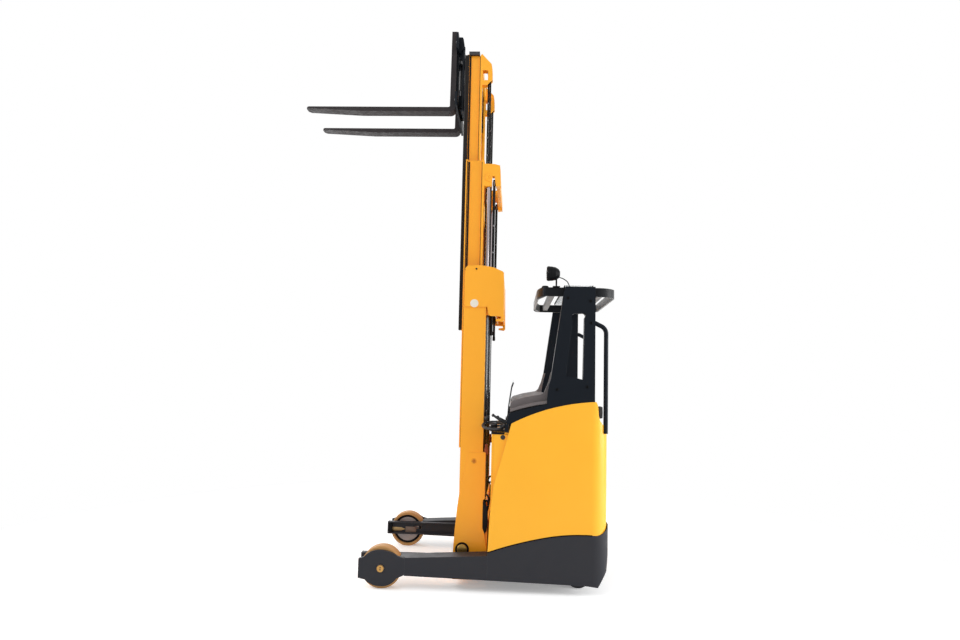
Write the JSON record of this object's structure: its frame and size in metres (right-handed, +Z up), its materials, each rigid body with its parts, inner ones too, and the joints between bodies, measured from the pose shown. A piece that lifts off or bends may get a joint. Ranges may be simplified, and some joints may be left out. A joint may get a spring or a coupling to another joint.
{
  "type": "stand-on reach truck",
  "caption": "Electric reach truck with straddle legs, a three-stage mast raised part of the way, tilting forks and a rear-entry operator bay under an overhead guard.",
  "frame": {"origin": "on the floor under the middle of the bounding box", "axes": "+Z up, forks point along -X, the drive end is at +X, the operator's left side is -Y"},
  "size_m": [2.418, 1.286, 4.206],
  "materials": {
    "anthracite_paint": "satin",
    "yellow_paint": "satin",
    "mast_orange": "satin",
    "black_paint": "satin",
    "fork_steel": "matte",
    "roller_steel": "satin",
    "chrome_rod": "polished",
    "cylinder_black": "gloss",
    "tread_urethane": "matte",
    "axle_brass": "satin",
    "grey_plastic": "matte",
    "black_plastic": "matte",
    "clear_sheet": "polished",
    "battery_case": "satin",
    "rubber_mat": "matte",
    "grey_iron": "satin"
  },
  "bodies": {
    "chassis": {"chassis_base": "anthracite_paint", "chassis_beams": "anthracite_paint", "rail_bumpers": "rubber_mat", "battery_lid": "yellow_paint", "operator_controls": "black_plastic", "leg_near": "anthracite_paint", "leg_far": "anthracite_paint", "wheel_guard_near": "anthracite_paint", "wheel_guard_far": "anthracite_paint", "load_axles": "axle_brass", "battery": "battery_case", "battery_cover": "yellow_paint", "side_panel_near": "yellow_paint", "side_panel_far": "yellow_paint", "floor_mat": "rubber_mat", "drive_cover": "black_plastic", "drive_motor": "grey_iron", "console": "grey_plastic", "console_screen": "clear_sheet", "post_near": "black_paint", "post_far": "black_paint", "guard_ring": "black_paint", "roof_plate": "clear_sheet", "work_lamp": "black_plastic", "grab_bar_near": "black_paint", "grab_bar_far": "black_paint", "back_pad": "black_plastic", "steering_column": "black_plastic", "reach_barrel": "cylinder_black"},
    "load_wheel_near": {"load_wheel_near": "tread_urethane"},
    "load_wheel_far": {"load_wheel_far": "tread_urethane"},
    "drive_unit": {"drive_unit": "grey_iron"},
    "drive_wheel": {"drive_wheel": "tread_urethane"},
    "caster_fork": {"caster_fork": "grey_iron"},
    "caster_wheel": {"caster_wheel": "black_plastic"},
    "steering_wheel": {"steering_wheel": "black_plastic"},
    "reach": {"reach_rod": "chrome_rod", "foot_bosses": "roller_steel", "reach_frame": "mast_orange", "reach_rollers": "roller_steel", "outer_mast": "mast_orange", "mast_hood": "mast_orange", "lift_barrels": "cylinder_black"},
    "middle_mast": {"middle_mast": "mast_orange", "lift_rods": "chrome_rod", "middle_hoses": "rubber_mat"},
    "inner_mast": {"inner_mast": "mast_orange", "free_lift_barrel": "cylinder_black", "inner_caps": "black_plastic", "inner_hoses": "rubber_mat"},
    "free_lift_rod": {"free_lift_rod": "chrome_rod"},
    "lift_carriage": {"lift_carriage": "black_paint"},
    "sideshift": {"sideshift_frame": "black_paint", "tilt_barrels": "cylinder_black"},
    "forks": {"fork_carriage": "black_paint", "fork_near": "fork_steel", "fork_far": "fork_steel"}
  },
  "joints": [
    {"name": "load_wheel_near_roll", "type": "hinge", "parent": "chassis", "child": "load_wheel_near", "pos_m": [-0.411, -0.565, 0.1425], "axis": [0, 1, 0], "continuous": true},
    {"name": "load_wheel_far_roll", "type": "hinge", "parent": "chassis", "child": "load_wheel_far", "pos_m": [-0.411, 0.565, 0.1425], "axis": [0, 1, 0], "continuous": true},
    {"name": "drive_steer", "type": "hinge", "parent": "chassis", "child": "drive_unit", "pos_m": [0.911, 0.33, 0.43], "axis": [0, 0, 1], "range_deg": [-90, 90]},
    {"name": "drive_wheel_roll", "type": "hinge", "parent": "drive_unit", "child": "drive_wheel", "pos_m": [0.911, 0.33, 0.1715], "axis": [0, 1, 0], "continuous": true},
    {"name": "caster_swivel", "type": "hinge", "parent": "chassis", "child": "caster_fork", "pos_m": [0.924, -0.43, 0.21], "axis": [0, 0, 1], "continuous": true},
    {"name": "caster_wheel_roll", "type": "hinge", "parent": "caster_fork", "child": "caster_wheel", "pos_m": [0.962, -0.43, 0.09], "axis": [0, 1, 0], "continuous": true},
    {"name": "steering_wheel_turn", "type": "hinge", "parent": "chassis", "child": "steering_wheel", "pos_m": [0.346, -0.52, 1.126], "axis": [0, -0.2588, 0.9659], "continuous": true},
    {"name": "mast_reach", "type": "slide", "parent": "chassis", "child": "reach", "axis": [-1, 0, 0], "range_m": [0, 0.55]},
    {"name": "middle_mast_lift", "type": "slide", "parent": "reach", "child": "middle_mast", "axis": [0, 0, 1], "range_m": [-0.87, 0.5]},
    {"name": "inner_mast_lift", "type": "slide", "parent": "middle_mast", "child": "inner_mast", "axis": [0, 0, 1], "range_m": [-0.87, 0.5]},
    {"name": "carriage_lift", "type": "slide", "parent": "inner_mast", "child": "lift_carriage", "axis": [0, 0, 1], "range_m": [-1.75, 0]},
    {"name": "free_rod_lift", "type": "slide", "parent": "inner_mast", "child": "free_lift_rod", "axis": [0, 0, 1], "range_m": [-0.875, 0]},
    {"name": "side_shift", "type": "slide", "parent": "lift_carriage", "child": "sideshift", "axis": [0, 1, 0], "range_m": [-0.075, 0.075]},
    {"name": "fork_tilt", "type": "hinge", "parent": "sideshift", "child": "forks", "pos_m": [0.019, 0, 4.085], "axis": [0, 1, 0], "range_deg": [-2, 3]}
  ],
  "couplings": [
    {"joint": "inner_mast_lift", "follows": "middle_mast_lift", "ratio": 1},
    {"joint": "free_rod_lift", "follows": "carriage_lift", "ratio": 0.5}
  ]
}
